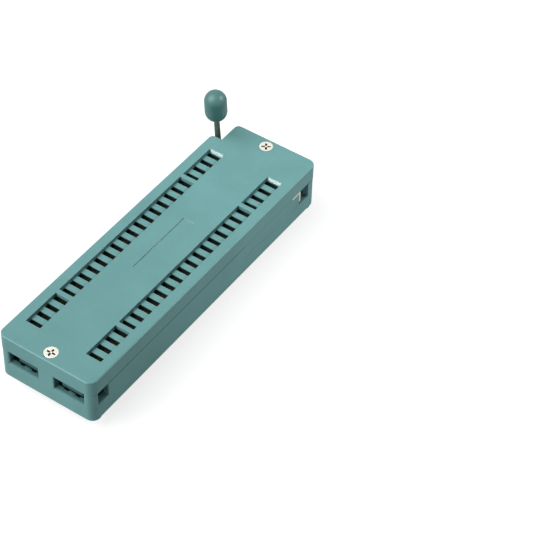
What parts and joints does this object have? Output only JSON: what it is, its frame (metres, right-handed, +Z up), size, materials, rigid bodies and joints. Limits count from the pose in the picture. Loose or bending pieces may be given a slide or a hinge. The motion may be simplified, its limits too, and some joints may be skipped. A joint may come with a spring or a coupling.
{
  "type": "ic test socket",
  "caption": "Zero-insertion-force test socket for dual-in-line chips: slotted moulded cover on a base with solder tails, and a side lever whose cam slides a plate along the contacts.",
  "frame": {"origin": "on the circuit board's face, under the middle of the body, at the face of the centre standoff disc", "axes": "+Y along the body towards the lever's end, +X away from the lever's side, +Z up out of the slotted cover"},
  "size_m": [0.0242, 0.0756, 0.0268],
  "materials": {
    "housing_plastic": "teal green glass-filled plastic, fine satin moulded surface",
    "screw_nickel": "nickel-plated steel",
    "bare_steel": "bright bare steel",
    "lever_steel": "dark olive passivated steel",
    "contact_gold": "thin gold plating on spring bronze"
  },
  "bodies": {
    "housing": {"base_housing": "housing_plastic", "top_cover": "housing_plastic", "cover_screw_near": "screw_nickel", "cover_screw_far": "screw_nickel", "contact_left_01": "contact_gold", "contact_left_02": "contact_gold", "contact_left_03": "contact_gold", "contact_left_04": "contact_gold", "contact_left_05": "contact_gold", "contact_left_06": "contact_gold", "contact_left_07": "contact_gold", "contact_left_08": "contact_gold", "contact_left_09": "contact_gold", "contact_left_10": "contact_gold", "contact_left_11": "contact_gold", "contact_left_12": "contact_gold", "contact_left_13": "contact_gold", "contact_left_14": "contact_gold", "contact_left_15": "contact_gold", "contact_left_16": "contact_gold", "contact_left_17": "contact_gold", "contact_left_18": "contact_gold", "contact_left_19": "contact_gold", "contact_left_20": "contact_gold", "contact_left_21": "contact_gold", "contact_left_22": "contact_gold", "contact_left_23": "contact_gold", "contact_left_24": "contact_gold", "contact_right_01": "contact_gold", "contact_right_02": "contact_gold", "contact_right_03": "contact_gold", "contact_right_04": "contact_gold", "contact_right_05": "contact_gold", "contact_right_06": "contact_gold", "contact_right_07": "contact_gold", "contact_right_08": "contact_gold", "contact_right_09": "contact_gold", "contact_right_10": "contact_gold", "contact_right_11": "contact_gold", "contact_right_12": "contact_gold", "contact_right_13": "contact_gold", "contact_right_14": "contact_gold", "contact_right_15": "contact_gold", "contact_right_16": "contact_gold", "contact_right_17": "contact_gold", "contact_right_18": "contact_gold", "contact_right_19": "contact_gold", "contact_right_20": "contact_gold", "contact_right_21": "contact_gold", "contact_right_22": "contact_gold", "contact_right_23": "contact_gold", "contact_right_24": "contact_gold"},
    "slide": {"slide_plate": "housing_plastic", "wear_angle": "bare_steel"},
    "lever": {"cam_rod": "bare_steel", "lever_arm": "lever_steel", "lever_knob": "housing_plastic"}
  },
  "joints": [
    {"name": "lever_turn", "type": "hinge", "parent": "housing", "child": "lever", "pos_m": [-0.01043, 0.03327, 0.00598], "axis": [-1, 0, 0], "range_deg": [0, 95]},
    {"name": "slide_travel", "type": "slide", "parent": "housing", "child": "slide", "axis": [0, 1, 0], "range_m": [0, 0.0007]}
  ],
  "couplings": [
    {"joint": "lever_turn", "follows": "slide_travel", "rad_per_m": 2368.7}
  ]
}
